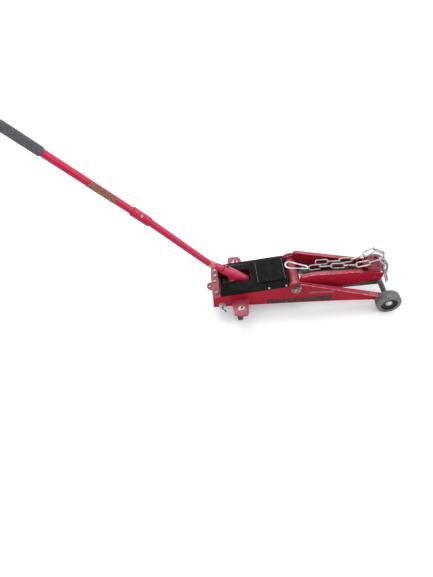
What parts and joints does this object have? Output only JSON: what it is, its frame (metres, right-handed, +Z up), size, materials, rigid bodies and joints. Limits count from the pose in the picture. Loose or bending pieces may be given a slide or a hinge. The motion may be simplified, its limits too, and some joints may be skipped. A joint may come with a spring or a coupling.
{
  "type": "hydraulic trolley jack",
  "caption": "Low trolley jack with its lift arm down, round toothed saddle, bent pump handle, black rear cover, and a chain with a snap hook laid along the arm.",
  "frame": {"origin": "on the floor, at the middle of the jack's overall length and on its centre plane", "axes": "+X towards the front wheels and saddle, +Z up, +Y to the left of an operator at the handle"},
  "size_m": [1.223, 0.284, 0.7652],
  "materials": {
    "red_paint": "gloss enamel, scratched and dusty",
    "black_paint": "satin, grey where it is rubbed",
    "zinc_plate": "dull zinc plate, a little rusty",
    "bare_steel": "dark bare steel",
    "worn_cast_iron": "rolled and worn",
    "caster_rubber": "matt",
    "foam_grip": "speckled grey foam",
    "galvanised_chain": "weathered zinc",
    "bright_hook_steel": "bright",
    "spring_steel": "dark"
  },
  "bodies": {
    "chassis": {"side_plate_left": "red_paint", "side_plate_right": "red_paint", "rear_cross_plate": "red_paint", "front_axle": "bare_steel", "axle_cap_left": "zinc_plate", "axle_cap_right": "zinc_plate", "caster_ear_left": "red_paint", "caster_ear_right": "red_paint", "caster_nut_left": "zinc_plate", "caster_nut_right": "zinc_plate", "tie_bolt": "zinc_plate", "grease_nipple": "bare_steel", "pivot_shaft": "bare_steel", "pivot_nut_left": "zinc_plate", "pivot_nut_right": "zinc_plate", "lower_pin_left": "bare_steel", "lower_pin_right": "bare_steel", "pump_block": "bare_steel", "ram_cylinder": "red_paint", "socket_pivot_pin": "zinc_plate", "rear_cover": "black_paint", "cover_box": "black_paint"},
    "release_valve": {"release_spindle": "zinc_plate"},
    "lift_arm": {"arm_plate_left": "red_paint", "arm_plate_right": "red_paint", "arm_pivot_tube": "red_paint", "arm_crank_pin": "bare_steel", "spring_pin": "bare_steel", "saddle_pin": "zinc_plate", "return_spring_left": "spring_steel", "return_spring_right": "spring_steel", "chain_near_run": "galvanised_chain", "chain_far_run": "galvanised_chain"},
    "radius_rods": {"radius_rod_left": "bare_steel", "radius_rod_right": "bare_steel"},
    "saddle_head": {"saddle_bracket": "red_paint", "radius_front_pin": "zinc_plate", "chain_front_loop": "galvanised_chain"},
    "saddle": {"saddle": "red_paint"},
    "ram": {"ram_rod": "zinc_plate", "ram_yoke": "bare_steel"},
    "socket": {"handle_socket": "red_paint", "pump_pin": "zinc_plate"},
    "handle": {"lower_handle_tube": "red_paint", "coupling_sleeve": "red_paint", "upper_handle_tube": "red_paint", "handle_grip": "foam_grip"},
    "plunger": {"pump_plunger": "bare_steel", "pump_spring": "spring_steel"},
    "front_wheel_left": {"front_wheel_left": "worn_cast_iron"},
    "front_wheel_right": {"front_wheel_right": "worn_cast_iron"},
    "caster_left": {"caster_fork_left": "zinc_plate", "caster_axle_left": "bare_steel"},
    "caster_right": {"caster_fork_right": "zinc_plate", "caster_axle_right": "bare_steel"},
    "caster_wheel_left": {"caster_wheel_left": "caster_rubber"},
    "caster_wheel_right": {"caster_wheel_right": "caster_rubber"},
    "snap_hook": {"snap_hook_body": "bright_hook_steel"},
    "snap_gate": {"snap_hook_gate": "bright_hook_steel"}
  },
  "joints": [
    {"name": "lift_arm_hinge", "type": "hinge", "parent": "chassis", "child": "lift_arm", "pos_m": [0.21705, 0, 0.128], "axis": [0, -1, 0], "range_deg": [0, 48], "deforming": ["return_spring_left", "return_spring_right"]},
    {"name": "saddle_level_hinge", "type": "hinge", "parent": "lift_arm", "child": "saddle_head", "pos_m": [0.51005, 0, 0.12], "axis": [0, -1, 0], "range_deg": [-48, 0]},
    {"name": "radius_rod_hinge", "type": "hinge", "parent": "chassis", "child": "radius_rods", "pos_m": [0.24205, 0, 0.088], "axis": [0, -1, 0], "range_deg": [0, 48]},
    {"name": "saddle_turn", "type": "hinge", "parent": "saddle_head", "child": "saddle", "pos_m": [0.50305, 0, 0.1523], "axis": [0, 0, 1], "continuous": true},
    {"name": "ram_slide", "type": "slide", "parent": "chassis", "child": "ram", "axis": [1, 0, 0], "range_m": [0, 0.0498]},
    {"name": "handle_pump_hinge", "type": "hinge", "parent": "chassis", "child": "socket", "pos_m": [0.02605, 0, 0.1145], "axis": [0, 1, 0], "range_deg": [-25, 25]},
    {"name": "handle_twist", "type": "hinge", "parent": "socket", "child": "handle", "pos_m": [-0.00162, 0, 0.14855], "axis": [-0.788, 0, 0.6157], "range_deg": [0, 90]},
    {"name": "release_valve_turn", "type": "hinge", "parent": "chassis", "child": "release_valve", "pos_m": [0.05305, 0, 0.0853], "axis": [0, 0, 1], "range_deg": [0, 90]},
    {"name": "pump_slide", "type": "slide", "parent": "chassis", "child": "plunger", "axis": [0, 0, 1], "range_m": [-0.014, 0.014], "deforming": ["pump_spring"]},
    {"name": "front_wheel_spin_left", "type": "hinge", "parent": "chassis", "child": "front_wheel_left", "pos_m": [0.56605, 0.09245, 0.0455], "axis": [0, 1, 0], "continuous": true},
    {"name": "caster_swivel_left", "type": "hinge", "parent": "chassis", "child": "caster_left", "pos_m": [0.02005, 0.1125, 0.0785], "axis": [0, 0, 1], "continuous": true},
    {"name": "caster_wheel_spin_left", "type": "hinge", "parent": "caster_left", "child": "caster_wheel_left", "pos_m": [0.02005, 0.0885, 0.0225], "axis": [1, 0, 0], "continuous": true},
    {"name": "front_wheel_spin_right", "type": "hinge", "parent": "chassis", "child": "front_wheel_right", "pos_m": [0.56605, -0.09245, 0.0455], "axis": [0, 1, 0], "continuous": true},
    {"name": "caster_swivel_right", "type": "hinge", "parent": "chassis", "child": "caster_right", "pos_m": [0.02005, -0.1125, 0.0785], "axis": [0, 0, 1], "continuous": true},
    {"name": "caster_wheel_spin_right", "type": "hinge", "parent": "caster_right", "child": "caster_wheel_right", "pos_m": [0.02005, -0.0885, 0.0225], "axis": [1, 0, 0], "continuous": true},
    {"name": "snap_hook_level", "type": "hinge", "parent": "lift_arm", "child": "snap_hook", "pos_m": [0.25705, -0.009, 0.1665], "axis": [0, -1, 0], "range_deg": [-48, 0]},
    {"name": "snap_gate_hinge", "type": "hinge", "parent": "snap_hook", "child": "snap_gate", "pos_m": [0.24234, -0.01249, 0.1665], "axis": [0, 0, -1], "range_deg": [0, 25], "stiffness_Nm_per_rad": 0.05, "springref_deg": -17.19}
  ],
  "couplings": [
    {"joint": "saddle_level_hinge", "follows": "lift_arm_hinge", "ratio": -1},
    {"joint": "radius_rod_hinge", "follows": "lift_arm_hinge", "ratio": 1},
    {"joint": "ram_slide", "follows": "lift_arm_hinge", "m_per_rad": 0.0592},
    {"joint": "snap_hook_level", "follows": "lift_arm_hinge", "ratio": -1},
    {"joint": "release_valve_turn", "follows": "handle_twist", "ratio": 1},
    {"joint": "pump_slide", "follows": "handle_pump_hinge", "m_per_rad": 0.031}
  ]
}
